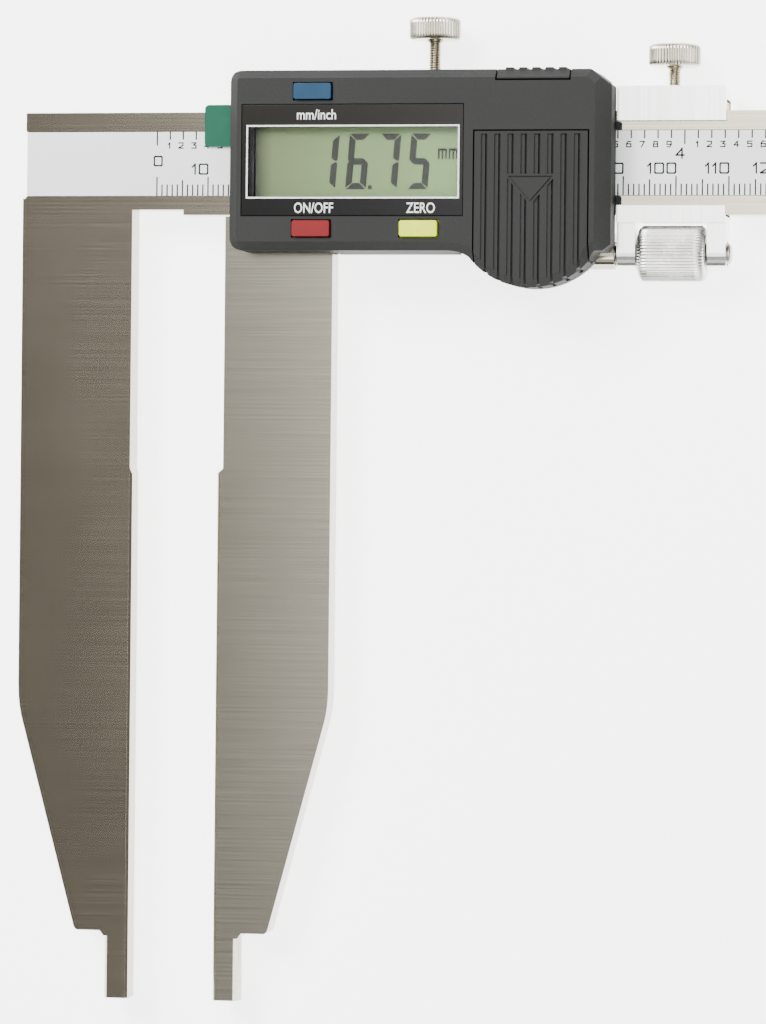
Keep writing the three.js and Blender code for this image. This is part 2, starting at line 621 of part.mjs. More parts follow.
function button(name, [x, y], color) {
  const w = BUTTON_WIDTH / 2;
  const h = BUTTON_HEIGHT / 2;
  const flangeZ = HOUSING_INNER_Z - GAP;
  const cap = roundedPlate(-w, w, -h, h, flangeZ - 0.3, HOUSING_FRONT_Z + BUTTON_PROUD, 0.45);
  const flange = box(-w - 0.5, w + 0.5, -h - 0.5, h + 0.5, 16.5, flangeZ);
  return at(node(name, cap.add(flange), material(color, 0.5)), x, y, 0);
}

function dataPortCover(body) {
  let cover = body.intersect(box(PORT.x0, PORT.x1, PORT.y, 30, PORT.z, HOUSING_FRONT_Z + 1));
  for (let i = 0; i < 5; i += 1) {
    const x = 69.6 + i * RIB_PITCH;
    cover = cover.add(box(x - 0.75, x + 0.75, HOUSING_HALF_Y - 0.5, HOUSING_HALF_Y + 0.35, 13, 17.9));
  }
  return cover;
}

// A rubber wiper on the housing's right end, between a block lip and the scale.
function dustWiper(y0, y1) {
  const x0 = HOUSING_RIGHT_X + THIN_GAP;
  return box(x0, x0 + 0.9, y0, y1, LIP_Z, LIP_Z + 1);
}

// A stiff plastic tab: one leg on the housing's flank, the other just over the beam.
function inspectionTab() {
  const x1 = HOUSING_LEFT_X - 0.2;
  const leg = box(x1 - 0.3, x1, TAB.y0, TAB.y1, TAB.z, TAB.z + 4);
  return roundedPlate(TAB.x0, x1 + 0.9, TAB.y0, TAB.y1, TAB.z, TAB.z + 0.3, 0.8)
    .subtract(box(x1, x1 + 2, TAB.y0 - 1, TAB.y1 + 1, 0, 20))
    .add(leg);
}

// ---- fine feed -----------------------------------------------------------------------------
function fineBlock() {
  let solid = channel(BLOCK_LEFT_X, BLOCK_RIGHT_X, BLOCK_TOP_Y, GIB_THICK - 0.1, BLOCK_BOTTOM_Y, BLOCK_FRONT_Z);
  const lugTop = BLOCK_BOTTOM_Y + 0.5;
  solid = solid.add(feedLug(BLOCK_LEFT_X, BLOCK_LEFT_X + LUG_WIDTH, lugTop, LUG_RADIUS));
  solid = solid.add(feedLug(BLOCK_RIGHT_X - LUG_WIDTH, BLOCK_RIGHT_X, lugTop, LUG_RADIUS));
  solid = solid.subtract(rod('x', ROD_HOLE_RADIUS, BLOCK_LEFT_X - 1, BLOCK_RIGHT_X + 1,
    FEED_Y, BEAM_MID_Z, 24));
  solid = solid.subtract(rod('y', THREAD_HOLE_RADIUS, BEAM_HALF + 1, BLOCK_TOP_Y + 1,
    FINE_CLAMP_X, BEAM_MID_Z, 20));
  return solid;
}

function feedRod() {
  return rod('x', ROD_RADIUS, 79.4, ROD_END_X, FEED_Y, BEAM_MID_Z, 24);
}

function lockNut() {
  const hex = new THREE.CylinderGeometry(3.3, 3.3, 2.4, 6).rotateY(Math.PI / 6).rotateZ(Math.PI / 2);
  const solid = solidOf(hex).subtract(rod('x', ROD_HOLE_RADIUS, -3, 3, 0, 0, 24));
  return at(node('rod_lock_nut', solid, screwSteel()), 82, FEED_Y, BEAM_MID_Z);
}

function feedNut() {
  const x0 = BLOCK_LEFT_X + LUG_WIDTH + GAP;
  const x1 = BLOCK_RIGHT_X - LUG_WIDTH - GAP;
  const half = (x1 - x0) / 2;
  const bore = ROD_RADIUS + GAP;
  const profile = [
    [bore, -half], [NUT_RADIUS - 1.2, -half], [NUT_RADIUS, -half + 1], [NUT_RADIUS, half - 1],
    [NUT_RADIUS - 1.2, half], [bore, half], [bore, -half],
  ].map(([r, y]) => new THREE.Vector2(r, y));
  const geometry = new THREE.LatheGeometry(profile, 40).rotateZ(-Math.PI / 2);
  return at(node('fine_feed_nut', geometry, nickel()), (x0 + x1) / 2, FEED_Y, BEAM_MID_Z);
}

// ---- assembly ------------------------------------------------------------------------------
function sliderGroup(body) {
  const group = new THREE.Group();
  const add = (name, shape, look) => group.add(node(name, shape, look));
  add('slider_frame', sliderFrame(), slideSteel());
  add('housing', housing(body), casePlastic());
  add('back_label_plate', roundedPlate(24, 80, -11.5, 13, 0, 0.4, 2), material(0xb7b9b8, 0.4, 1));
  add('reader_board', readerBoard(), circuit());
  add('main_board', mainBoard(), circuit());
  add('lcd_frame', lcdFrame(), material(0x1b1c1e, 0.6));
  add('lcd_glass', lcdGlass(), material(0xa5b894, 0.25));
  add('display_window', displayWindow(), material(0x17191c, 0.12));
  add('battery_contact_negative', negativeContact(), contactMetal());
  add('battery_contact_positive', positiveContact(), contactMetal());
  add('data_port_connector', dataPortConnector(), material(0x1f1f20, 0.5));
  add('inspection_tab', inspectionTab(), material(0x28926e, 0.45));
  add('dust_wiper_upper', dustWiper(6.25, 7.6), material(0x2a2f33, 0.7));
  add('dust_wiper_lower', dustWiper(-7.8, -6.3), material(0x2a2f33, 0.7));
  add('fine_feed_rod', feedRod(), screwSteel());
  group.add(zebraStrip('zebra_strip_upper', 6.9));
  group.add(zebraStrip('zebra_strip_lower', -7.1));
  group.add(tactSwitch('tact_switch_units', UNITS_XY));
  group.add(tactSwitch('tact_switch_power', POWER_XY));
  group.add(tactSwitch('tact_switch_zero', ZERO_XY));
  group.add(coinCell());
  group.add(lockNut());
  SET_SCREW_X.forEach((x, index) => group.add(setScrew(index + 1, x)));
  POSTS.forEach((place, index) => group.add(housingScrew(index + 1, place)));
  return group;
}

function movingGroup(body) {
  const group = new THREE.Group();
  group.add(gib('slider_gib', FRAME_LEFT_X + GAP, FRAME_RIGHT_X - GAP, GIB_THICK));
  group.add(thumbScrew('clamp_screw', CLAMP_X, BEAM_HALF + GAP + GIB_THICK + THIN_GAP, CLAMP_KNOB_Y));
  group.add(node('fine_block', fineBlock(), material(0xd3d3cd, 0.32, 1)));
  group.add(gib('fine_block_gib', BLOCK_LEFT_X + GAP, BLOCK_RIGHT_X - GAP, GIB_THICK - 0.1));
  group.add(thumbScrew('fine_clamp_screw', FINE_CLAMP_X, BEAM_HALF + GAP + GIB_THICK, FINE_CLAMP_KNOB_Y));
  group.add(feedNut());
  group.add(button('units_button', UNITS_XY, 0x356f98));
  group.add(button('power_button', POWER_XY, 0xc9474e));
  group.add(button('zero_button', ZERO_XY, 0xe0e684));
  group.add(node('battery_lid', batteryLid(body), casePlastic()));
  group.add(node('data_port_cover', dataPortCover(body), casePlastic()));
  return group;
}

function caliper() {
  const body = housingBody();
  const group = new THREE.Group();
  group.add(beamGroup(), sliderGroup(body), movingGroup(body));
  const bounds = new THREE.Box3().setFromObject(group);
  const centre = bounds.getCenter(new THREE.Vector3());
  group.position.set(-centre.x, -centre.y, -bounds.min.z);
  return group;
}

export default caliper();
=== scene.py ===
"""Digital caliper: looks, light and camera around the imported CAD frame.

Lengths are millimetres until at() or MM turns them into metres. X is counted from the scale's
zero and Y from the beam's centre line, as in the CAD part; Z is the height above the bench.
Lights, floor and the noise of materials are in metres, in the row frame.
"""
import math

import bpy
from mathutils import Matrix, Vector


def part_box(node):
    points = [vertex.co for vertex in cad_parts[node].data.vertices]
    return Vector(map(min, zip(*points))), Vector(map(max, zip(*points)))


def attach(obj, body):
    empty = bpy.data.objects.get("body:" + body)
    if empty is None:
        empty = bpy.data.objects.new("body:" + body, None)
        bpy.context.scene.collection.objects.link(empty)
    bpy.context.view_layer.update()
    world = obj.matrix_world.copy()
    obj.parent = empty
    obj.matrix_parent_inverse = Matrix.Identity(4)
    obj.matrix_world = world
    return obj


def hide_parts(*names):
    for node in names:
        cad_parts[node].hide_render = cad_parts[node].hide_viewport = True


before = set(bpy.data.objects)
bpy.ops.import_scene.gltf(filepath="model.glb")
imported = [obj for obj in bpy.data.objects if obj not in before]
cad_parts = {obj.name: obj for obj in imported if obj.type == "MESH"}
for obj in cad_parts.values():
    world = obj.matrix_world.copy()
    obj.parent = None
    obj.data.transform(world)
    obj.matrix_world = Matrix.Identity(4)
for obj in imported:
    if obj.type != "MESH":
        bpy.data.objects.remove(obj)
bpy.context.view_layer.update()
MM = 0.001

# ---- sizes --------------------------------------------------------------------------------
LABEL_LOW, LABEL_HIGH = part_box("scale_label")
LABEL_MARGIN = 25.6                       # the label starts this far left of the scale's zero
ZERO = Vector((LABEL_LOW.x + LABEL_MARGIN * MM, (LABEL_LOW.y + LABEL_HIGH.y) / 2, 0))
LABEL_HALF = (LABEL_HIGH.y - LABEL_LOW.y) / 2 / MM
LABEL_TOP_Z = LABEL_HIGH.z / MM
LABEL_END_X = (LABEL_HIGH.x - ZERO.x) / MM
INK = 0.02                                # how far printed marks stand up
INCH = 25.4


def at(x, y, z):
    return ZERO + Vector((x, y, z)) * MM


def node_box(node):
    """Lowest and highest corner of a CAD node in the script's millimetres."""
    low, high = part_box(node)
    return (low - ZERO) / MM, (high - ZERO) / MM


# ---- camera -------------------------------------------------------------------------------
VIEW_YAW = math.radians(10.5)             # the camera stands to the right of the display's axis
VIEW_ROLL = math.radians(0.57)            # and is held so that the beam looks level
VIEW_DISTANCE = 1000
VIEW_LENS = 185.2                         # focal length
VIEW_AIM = (44.65, -66.2, 8.8)            # the point in the middle of the picture
VIEW_CLIP = (0.05, 50)                    # in metres


def add_camera():
    back = Vector((math.sin(VIEW_YAW), 0, math.cos(VIEW_YAW)))
    roll = Matrix.Rotation(VIEW_ROLL, 3, back)
    up = roll @ Vector((0, 1, 0))
    right = up.cross(back)
    place = at(*VIEW_AIM) + back * VIEW_DISTANCE * MM
    data = bpy.data.cameras.new("camera")
    data.lens = VIEW_LENS
    data.clip_start, data.clip_end = VIEW_CLIP
    camera = bpy.data.objects.new("camera", data)
    bpy.context.scene.collection.objects.link(camera)
    turn = Matrix((right, up, back)).transposed().to_4x4()
    camera.matrix_world = Matrix.Translation(place) @ turn
    bpy.context.scene.camera = camera


# ---- material building blocks --------------------------------------------------------------
NOISE_ROUGHNESS = 0.55
NOISE_START, NOISE_END = 0.35, 0.65       # where most values of a noise lie
MIX_A, MIX_B, MIX_RESULT = 6, 7, 2        # colour sockets of a Mix node


def srgb(red, green, blue):
    """Display values of 0 to 255 as a linear colour."""
    def linear(value):
        value /= 255
        return value / 12.92 if value <= 0.04045 else ((value + 0.055) / 1.055) ** 2.4
    return (linear(red), linear(green), linear(blue), 1)


def scaled(colour, factor):
    return tuple(min(1, channel * factor) for channel in colour[:3]) + (1,)


class Look:
    """A Principled material and short ways to feed it from the object's own coordinates."""

    def __init__(self, name, colour, roughness, metallic=0.0, **sockets):
        self.material = bpy.data.materials.new(name)
        self.material.use_nodes = True
        self.tree = self.material.node_tree
        self.shader = self.tree.nodes["Principled BSDF"]
        self.shader.inputs["Base Color"].default_value = colour
        self.shader.inputs["Roughness"].default_value = roughness
        self.shader.inputs["Metallic"].default_value = metallic
        for socket, value in sockets.items():
            self.shader.inputs[socket.replace("_", " ")].default_value = value
        self.place = self.tree.nodes.new("ShaderNodeTexCoord").outputs["Object"]

    def add(self, kind, **values):
        node = self.tree.nodes.new("ShaderNode" + kind)
        for name, value in values.items():
            setattr(node, name, value)
        return node

    def link(self, source, target):
        self.tree.links.new(source, target)

    def stretched(self, scale):
        mapping = self.add("Mapping")
        mapping.inputs["Scale"].default_value = scale
        self.link(self.place, mapping.inputs["Vector"])
        return mapping.outputs["Vector"]

    def axis(self, name):
        """The object's own X, Y or Z."""
        axes = self.add("SeparateXYZ")
        self.link(self.place, axes.inputs["Vector"])
        return axes.outputs[name]

    def noise(self, scale, detail, stretch=(1, 1, 1)):
        node = self.add("TexNoise")
        node.inputs["Scale"].default_value = scale
        node.inputs["Detail"].default_value = detail
        node.inputs["Roughness"].default_value = NOISE_ROUGHNESS
        self.link(self.stretched(stretch), node.inputs["Vector"])
        return node.outputs["Fac"]

    def spread(self, value, low, high, start=NOISE_START, end=NOISE_END):
        """Maps a value that goes from start to end onto low to high."""
        node = self.add("MapRange")
        node.inputs["From Min"].default_value = start
        node.inputs["From Max"].default_value = end
        node.inputs["To Min"].default_value = low
        node.inputs["To Max"].default_value = high
        self.link(value, node.inputs["Value"])
        return node.outputs["Result"]

    def blended(self, value, first, second, start=NOISE_START, end=NOISE_END):
        """A colour that goes from first to second as value goes from start to end."""
        node = self.add("Mix", data_type="RGBA")
        self.link(self.spread(value, 0, 1, start, end), node.inputs["Factor"])
        for index, colour in ((MIX_A, first), (MIX_B, second)):
            if isinstance(colour, tuple):
                node.inputs[index].default_value = colour
            else:
                self.link(colour, node.inputs[index])
        return node.outputs[MIX_RESULT]

    def tint(self, colour):
        self.link(colour, self.shader.inputs["Base Color"])

    def polish(self, roughness):
        self.link(roughness, self.shader.inputs["Roughness"])

    def emboss(self, value, depth):
        """Bumps the surface by a noise value that is depth millimetres high."""
        bump = self.add("Bump")
        bump.inputs["Strength"].default_value = 1
        bump.inputs["Distance"].default_value = depth * MM
        self.link(value, bump.inputs["Height"])
        self.link(bump.outputs["Normal"], self.shader.inputs["Normal"])


GROUND_LINES = {"x": (0.4, 40, 40), "y": (40, 0.4, 40)}    # noise scales, by the lines' direction
CASE_ROUGHNESS = 0.58
CASE_GRAIN = 0.012                        # depth of the case plastic's grain
LCD_SHADE_START, LCD_SHADE_END = 0.6, 3.2    # before and after the display's left edge


def brushed_steel(name, colour, along, roughness, warm=None):
    """Ground steel with fine lines along "x" or "y", and clouds that are warm or a bit darker."""
    look = Look(name, colour, roughness, 1.0)
    hair = look.noise(60, 1, GROUND_LINES[along])
    cloud = look.noise(14, 2)
    mottle = look.noise(160, 3)
    fine = look.blended(hair, scaled(colour, 0.86), scaled(colour, 1.12))
    soft = look.blended(mottle, fine, scaled(colour, 0.96), 0.35, 0.9)
    look.tint(look.blended(cloud, soft, warm or scaled(colour, 0.93), 0.3, 1.0))
    look.polish(look.spread(look.noise(30, 2), roughness - 0.004, roughness + 0.006))
    look.emboss(hair, 0.00012)
    return look.material


def bright_plate(name, colour, roughness):
    """Nickel plate or turned metal, with faint handling marks."""
    look = Look(name, colour, roughness, 1.0)
    smudge = look.noise(350, 4)
    look.tint(look.blended(smudge, scaled(colour, 0.88), colour))
    look.polish(look.spread(smudge, roughness - 0.05, roughness + 0.1))
    look.emboss(look.noise(4000, 2), 0.001)
    return look.material


def moulded_plastic(name, colour):
    """Spark-eroded case plastic: a fine even grain and very faint clouds."""
    look = Look(name, colour, CASE_ROUGHNESS, Specular_IOR_Level=0.1)
    fine = look.noise(4200, 2)
    cloud = look.noise(60, 4)
    speck = look.blended(fine, scaled(colour, 0.86), scaled(colour, 1.14))
    look.tint(look.blended(cloud, speck, scaled(colour, 1.12), 0.3, 0.9))
    look.polish(look.spread(cloud, CASE_ROUGHNESS - 0.05, CASE_ROUGHNESS + 0.07))
    look.emboss(fine, CASE_GRAIN)
    return look.material


def smooth_plastic(name, colour, roughness, shine=0.0):
    """Plastic or rubber with a faint unevenness; shine is the weight of a glossy coat."""
    look = Look(name, colour, roughness, Specular_IOR_Level=0.2,
                Coat_Weight=shine, Coat_Roughness=0.1)
    cloud = look.noise(300, 3)
    look.tint(look.blended(cloud, scaled(colour, 0.93), scaled(colour, 1.05)))
    look.emboss(look.noise(2600, 2), 0.003)
    return look.material


def scale_foil():
    """Silver-white printed foil with a hint of metal under it."""
    white = srgb(238, 243, 240)
    look = Look("scale_foil", white, 0.42, 0.1)
    cloud = look.noise(35, 3)
    look.tint(look.blended(cloud, scaled(white, 0.93), white))
    look.emboss(look.noise(900, 2), 0.002)
    return look.material


def ink(name, colour):
    """Matt print, a little uneven."""
    look = Look(name, colour, 0.5, Specular_IOR_Level=0.2)
    look.tint(look.blended(look.noise(3000, 2), scaled(colour, 0.85), scaled(colour, 1.25)))
    return look.material


def circuit_board():
    """Green solder mask with a pattern of cells in place of tracks."""
    green = srgb(28, 92, 58)
    look = Look("circuit_board", green, 0.35)
    cells = look.add("TexVoronoi")
    cells.inputs["Scale"].default_value = 500
    look.link(look.stretched((1, 1, 0.01)), cells.inputs["Vector"])
    dark, light = scaled(green, 0.7), scaled(green, 1.25)
    look.tint(look.blended(cells.outputs["Distance"], dark, light, 0.1, 0.8))
    look.emboss(look.noise(1500, 2), 0.004)
    return look.material


def lcd_face():
    """Grey-green display with painted light towards +X and painted shade along its left edge."""
    green = srgb(76, 87, 58)
    pale = srgb(100, 126, 80)
    shade = srgb(20, 22, 21)
    look = Look("lcd_face", green, 0.4, Specular_IOR_Level=0.15)
    x = look.axis("X")
    low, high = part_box("lcd_glass")
    # painted light: the display grows paler towards +X
    across = look.blended(x, green, pale, low.x, high.x)
    clouded = look.blended(look.noise(90, 3), across, scaled(green, 1.06), 0.2, 1.2)
    # painted shade: dark colour blended in along the display's left edge
    look.tint(look.blended(x, shade, clouded,
                           low.x - LCD_SHADE_START * MM, low.x + LCD_SHADE_END * MM))
    look.emboss(look.noise(6000, 1), 0.001)
    return look.material


def black_print():
    """Glossy panel printed black from behind; painted reflection, lighter and warmer towards +Y.
    """
    look = Look("black_print", srgb(17, 18, 20), 0.16, Specular_IOR_Level=0.25)
    low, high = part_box("display_window")
    # painted reflection: darker towards -Y, lighter and warmer towards +Y
    painted_reflection_ramp = look.blended(look.axis("Y"), srgb(9, 10, 12), srgb(32, 30, 23), low.y, high.y)
    look.tint(look.blended(look.noise(40, 2), painted_reflection_ramp, srgb(20, 20, 20), 0.2, 0.9))
    look.emboss(look.noise(120, 2), 0.003)
    return look.material


def clear_pane():
    look = Look("clear_pane", (1, 1, 1, 1), 0.02, IOR=1.25, Transmission_Weight=1.0)
    look.emboss(look.noise(80, 1), 0.002)
    return look.material


# ---- mesh building blocks ------------------------------------------------------------------
WELD_DISTANCE = 1e-6                      # in metres
FLAT_ANGLE = math.radians(0.5)            # faces that meet at less than this become one
SHARP_ANGLE = math.radians(35)            # edges sharper than this are rounded


def piece(name, points, faces, material, body, smooth=False):
    """A new object in the row frame that rides on a CAD body."""
    mesh = bpy.data.meshes.new(name)
    mesh.from_pydata([tuple(point) for point in points], [], faces)
    mesh.validate()
    if smooth:
        mesh.shade_smooth()
    mesh.materials.append(material)
    made = bpy.data.objects.new(name, mesh)
    bpy.context.scene.collection.objects.link(made)
    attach(made, body)
    return made


def bevelled(made, width, segments=2):
    """Rounds the sharp edges of a piece or CAD node without touching its mesh."""
    weld = made.modifiers.new("weld", "WELD")
    weld.merge_threshold = WELD_DISTANCE
    merge = made.modifiers.new("merge_flats", "DECIMATE")
    merge.decimate_type = "DISSOLVE"
    merge.angle_limit = FLAT_ANGLE
    bevel = made.modifiers.new("bevel", "BEVEL")
    bevel.limit_method = "ANGLE"
    bevel.angle_limit = SHARP_ANGLE
    bevel.width = width * MM
    bevel.segments = segments
    bevel.use_clamp_overlap = True
    bevel.harden_normals = True
    return made


class Sheet:
    """Collects flat printed shapes at one height and makes them one thin piece."""

    def __init__(self):
        self.points = []
        self.faces = []

    def polygon(self, outline, z):
        """A flat shape with a thin rim, from its outline in X and Y."""
        count = len(outline)
        first = len(self.points)
        for height in (z, z + INK):
            self.points += [at(x, y, height) for x, y in outline]
        self.faces.append([first + i for i in reversed(range(count))])
        self.faces.append([first + count + i for i in range(count)])
        for i in range(count):
            j = (i + 1) % count
            self.faces.append([first + i, first + j, first + count + j, first + count + i])

    def bar(self, x0, x1, y0, y1, z):
        self.polygon([(x0, y0), (x1, y0), (x1, y1), (x0, y1)], z)

    def stroke(self, path, width, z):
        """A pen line through the points of path, with its ends half a width longer."""
        for (x0, y0), (x1, y1) in zip(path, path[1:]):
            along = Vector((x1 - x0, y1 - y0)).normalized() * width / 2
            side = Vector((-along.y, along.x))
            start = Vector((x0, y0)) - along
            end = Vector((x1, y1)) + along
            self.polygon([start - side, end - side, end + side, start + side], z)

    def make(self, name, material, body):
        return piece(name, self.points, self.faces, material, body)


def turned(name, rows, sides, place, direction, material, body, shape):
    """A closed turned part. rows are (radius, height) along its axis, shape moves its points."""
    points, rings = [], []
    for radius, height in rows:
        count = sides if radius > 0 else 1
        ring = []
        for i in range(count):
            turn = 2 * math.pi * i / sides
            point = Vector((radius * math.cos(turn), radius * math.sin(turn), height))
            ring.append(len(points))
            points.append(shape(point, turn))
        rings.append(ring)
    faces = []
    for low, high in zip(rings, rings[1:]):
        for i in range(sides):
            j = (i + 1) % sides
            corners = [low[i % len(low)], low[j % len(low)],
                       high[j % len(high)], high[i % len(high)]]
            corners = list(dict.fromkeys(corners))
            if len(corners) > 2:
                faces.append(corners)
    turn_to = Vector(direction).to_track_quat("Z", "Y").to_matrix()
    placed = [at(*place) + turn_to @ point * MM for point in points]
    return piece(name, placed, faces, material, body, smooth=True)


def evenly(start, end, step):
    """Numbers from start to end in equal steps of about step."""
    count = max(1, round((end - start) / step))
    return [start + (end - start) * i / count for i in range(count + 1)]


# ---- scale label ---------------------------------------------------------------------------
# Pen strokes on a square 0 to 1 wide and 0 to 1 high, read from the bottom left.
DIGIT_STROKES = {
    "0": [[(0.1, 0), (0.9, 0), (1, 0.1), (1, 0.9), (0.9, 1), (0.1, 1), (0, 0.9), (0, 0.1),
           (0.1, 0)]],
    "1": [[(0, 0.72), (0.8, 1), (0.8, 0)]],
    "2": [[(0, 1), (1, 1), (1, 0.55), (0, 0.05), (0, 0), (1, 0)]],
    "3": [[(0, 1), (1, 1), (0.45, 0.6), (1, 0.5), (1, 0), (0, 0)]],
    "4": [[(0.75, 0), (0.75, 1), (0, 0.3), (1, 0.3)]],
    "5": [[(1, 1), (0, 1), (0, 0.55), (1, 0.55), (1, 0), (0, 0)]],
    "6": [[(0.9, 1), (0.3, 1), (0, 0.6), (0, 0), (1, 0), (1, 0.55), (0, 0.55)]],
    "7": [[(0, 1), (1, 1), (0.35, 0)]],
    "8": [[(0, 0), (1, 0), (1, 0.5), (0, 0.5), (0, 0)],
          [(0.1, 0.5), (0.1, 1), (0.9, 1), (0.9, 0.5)]],
    "9": [[(0.1, 0), (0.7, 0), (1, 0.4), (1, 1), (0, 1), (0, 0.45), (1, 0.45)]],
}
PEN, SMALL_PEN = 0.32, 0.24               # width of the lines of numbers
NARROW_ONE = 0.4                          # width of a 1 against the other digits
DIGIT_GAP = 0.45                          # space between digits against their width
MM_DIGIT = (1.6, 1.85)                    # width and height of a digit
ZERO_DIGIT = (1.5, 1.75)
TENTH_DIGIT = (0.8, 1.0)
INCH_DIGIT = (1.45, 1.75)
TICK_HALF = 0.14                          # half the width of a tick
MM_TICK, FIVE_TICK, TEN_TICK = 2.15, 3.0, 3.6    # lengths of the ticks
TENTH_TICK, INCH_TICK = 1.5, 2.6
LABEL_END_GAP = 4                         # free label beyond the last tick


def write_number(sheet, text, right, bottom, size, pen, z):
    """Writes a number whose right edge is at right, with digits of the given width and height."""
    width, height = size
    left = right
    for digit in reversed(text):
        wide = width * (NARROW_ONE if digit == "1" else 1)
        left -= wide
        for path in DIGIT_STROKES[digit]:
            sheet.stroke([(left + x * wide, bottom + y * height) for x, y in path], pen, z)
        left -= width * DIGIT_GAP


def add_scale_marks():
    """Millimetres along the label's lower edge, inches in tenths along its upper one."""
    marks = Sheet()
    z = LABEL_TOP_Z
    top = LABEL_HALF
    last = int(LABEL_END_X - LABEL_END_GAP)
    for millimetre in range(last + 1):
        length = MM_TICK
        if millimetre % 5 == 0:
            length = TEN_TICK if millimetre % 10 == 0 else FIVE_TICK
        marks.bar(millimetre - TICK_HALF, millimetre + TICK_HALF, -top, -top + length, z)
        if millimetre and millimetre % 10 == 0:
            write_number(marks, str(millimetre), millimetre - 0.1, -1.95, MM_DIGIT, PEN, z)
    write_number(marks, "0", 0.95, -0.35, ZERO_DIGIT, PEN, z)
    for tenth in range(int(last / INCH * 10) + 1):
        x = tenth * INCH / 10
        length = INCH_TICK if tenth % 10 == 0 else TENTH_TICK
        marks.bar(x - TICK_HALF, x + TICK_HALF, top - length, top, z)
        if tenth % 10:
            write_number(marks, str(tenth % 10), x - 0.05, top - 3.1, TENTH_DIGIT, SMALL_PEN, z)
        elif tenth:
            write_number(marks, str(tenth // 10), x - 0.15, top - 5.2, INCH_DIGIT, PEN, z)
    marks.make("scale_marks", ink("scale_ink", srgb(34, 36, 35)), "beam")


# ---- display -------------------------------------------------------------------------------
WINDOW_LOW, WINDOW_HIGH = node_box("display_window")
OPENING_LOW = Vector((19.95, -7.0))
OPENING_HIGH = Vector((60.15, 6.25))
OUTLINE = 0.3                             # width of the white line round the display
WINDOW_BEVEL = 0.08
PANE_BOTTOM, PANE_TOP = 0.45, 0.02        # depths below the window's face
READING = "16.75"
DIGIT_HIGH = 10.5
DIGIT_WIDE = 4.0
DIGIT_STEP = 5.9
DIGIT_LEAN = 0.08                         # how far a digit leans to the right for its height
DIGIT_BAR = 1.25                          # thickness of a bar
BAR_GAP = 0.04
DIGIT_RIGHT = 54.9                        # upper right corner of the last digit
DIGIT_BOTTOM = -5.45
POINT_SHIFT = 0.1                         # the decimal point, against the digit on its right
POINT_LEFT, POINT_RIGHT, POINT_HIGH = 0.35, 0.4, 0.75
UNIT_LETTERS = (56.15, 58.2)              # first leg of each m of the unit
LEG_STEP, LEG_HALF = 0.7, 0.17
LEG_BOTTOM, LEG_TOP = 0.2, 2.1
ARCH_BOTTOM, ARCH_TOP = 1.75, 2.25
LIT_BARS = {"1": "bc", "6": "afgedc", "7": "abc", "5": "afgcd"}


def ring_piece(name, outer_low, outer_high, inner_low, inner_high, z0, z1, material):
    """A flat rectangular frame on the slider, between two heights."""
    def corners(low, high):
        return [(low.x, low.y), (high.x, low.y), (high.x, high.y), (low.x, high.y)]
    outer = corners(outer_low, outer_high)
    inner = corners(inner_low, inner_high)
    points = [at(x, y, z) for z in (z0, z1) for x, y in outer + inner]
    faces = []
    for i in range(4):
        j = (i + 1) % 4
        faces += [[8 + i, 8 + j, 12 + j, 12 + i], [i, 4 + i, 4 + j, j]]
        faces += [[i, j, 8 + j, 8 + i], [4 + j, 4 + i, 12 + i, 12 + j]]
    return piece(name, points, faces, material, "slider")


def block(name, low, high, material):
    """A box on the slider."""
    (x0, y0, z0), (x1, y1, z1) = low, high
    corners = ((x0, y0), (x1, y0), (x1, y1), (x0, y1))
    points = [at(x, y, z) for z in (z0, z1) for x, y in corners]
    faces = [[3, 2, 1, 0], [4, 5, 6, 7]]
    faces += [[i, (i + 1) % 4, 4 + (i + 1) % 4, 4 + i] for i in range(4)]
    return piece(name, points, faces, material, "slider")


def bar_outline(bar):
    """Corners of one display bar on a digit that is DIGIT_WIDE by DIGIT_HIGH and upright."""
    w, h, t, gap = DIGIT_WIDE, DIGIT_HIGH, DIGIT_BAR, BAR_GAP
    middle = h / 2
    left, right = t + gap, w - t - gap                # inner corners of the top and bottom bar
    near, far = t * 0.8 + gap, w - t * 0.8 - gap      # corners of the middle bar
    upper, lower = middle + t * 0.5, middle - t * 0.5
    deep = t * 0.97
    shapes = {
        "a": [(gap + 0.1, h), (w - gap - 0.1, h), (right, h - deep), (left, h - deep)],
        "d": [(gap + 0.1, 0), (left, deep), (right, deep), (w - gap - 0.1, 0)],
        "g": [(gap + 0.3, middle), (near, upper), (far, upper),
              (w - gap - 0.3, middle), (far, lower), (near, lower)],
        "f": [(0, h - gap - 0.2), (t, h - t - gap * 0.6), (t, upper + gap * 0.4),
              (0.35, middle + gap), (0, middle + gap + 0.3)],
        "e": [(0, gap + 0.2), (0, middle - gap - 0.3), (0.35, middle - gap),
              (t, lower - gap * 0.4), (t, t + gap * 0.6)],
    }
    mirrored = {"b": "f", "c": "e"}
    if bar in mirrored:
        return [(w - x, y) for x, y in reversed(shapes[mirrored[bar]])]
    return shapes[bar]


def add_window():
    """The black border, the clear pane and the white line round the display."""
    z_top = WINDOW_HIGH.z
    panel = ring_piece("window_border", WINDOW_LOW, WINDOW_HIGH, OPENING_LOW, OPENING_HIGH,
                       WINDOW_LOW.z, z_top, black_print())
    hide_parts("display_window")
    bevelled(panel, WINDOW_BEVEL)
    pane = block("window_pane", (*OPENING_LOW, z_top - PANE_BOTTOM),
                 (*OPENING_HIGH, z_top - PANE_TOP), clear_pane())
    pane.visible_shadow = False
    white = ink("white_print", srgb(232, 234, 230))
    edge = Vector((OUTLINE, OUTLINE))
    ring_piece("window_outline", OPENING_LOW - edge, OPENING_HIGH + edge,
               OPENING_LOW, OPENING_HIGH, z_top, z_top + INK, white)


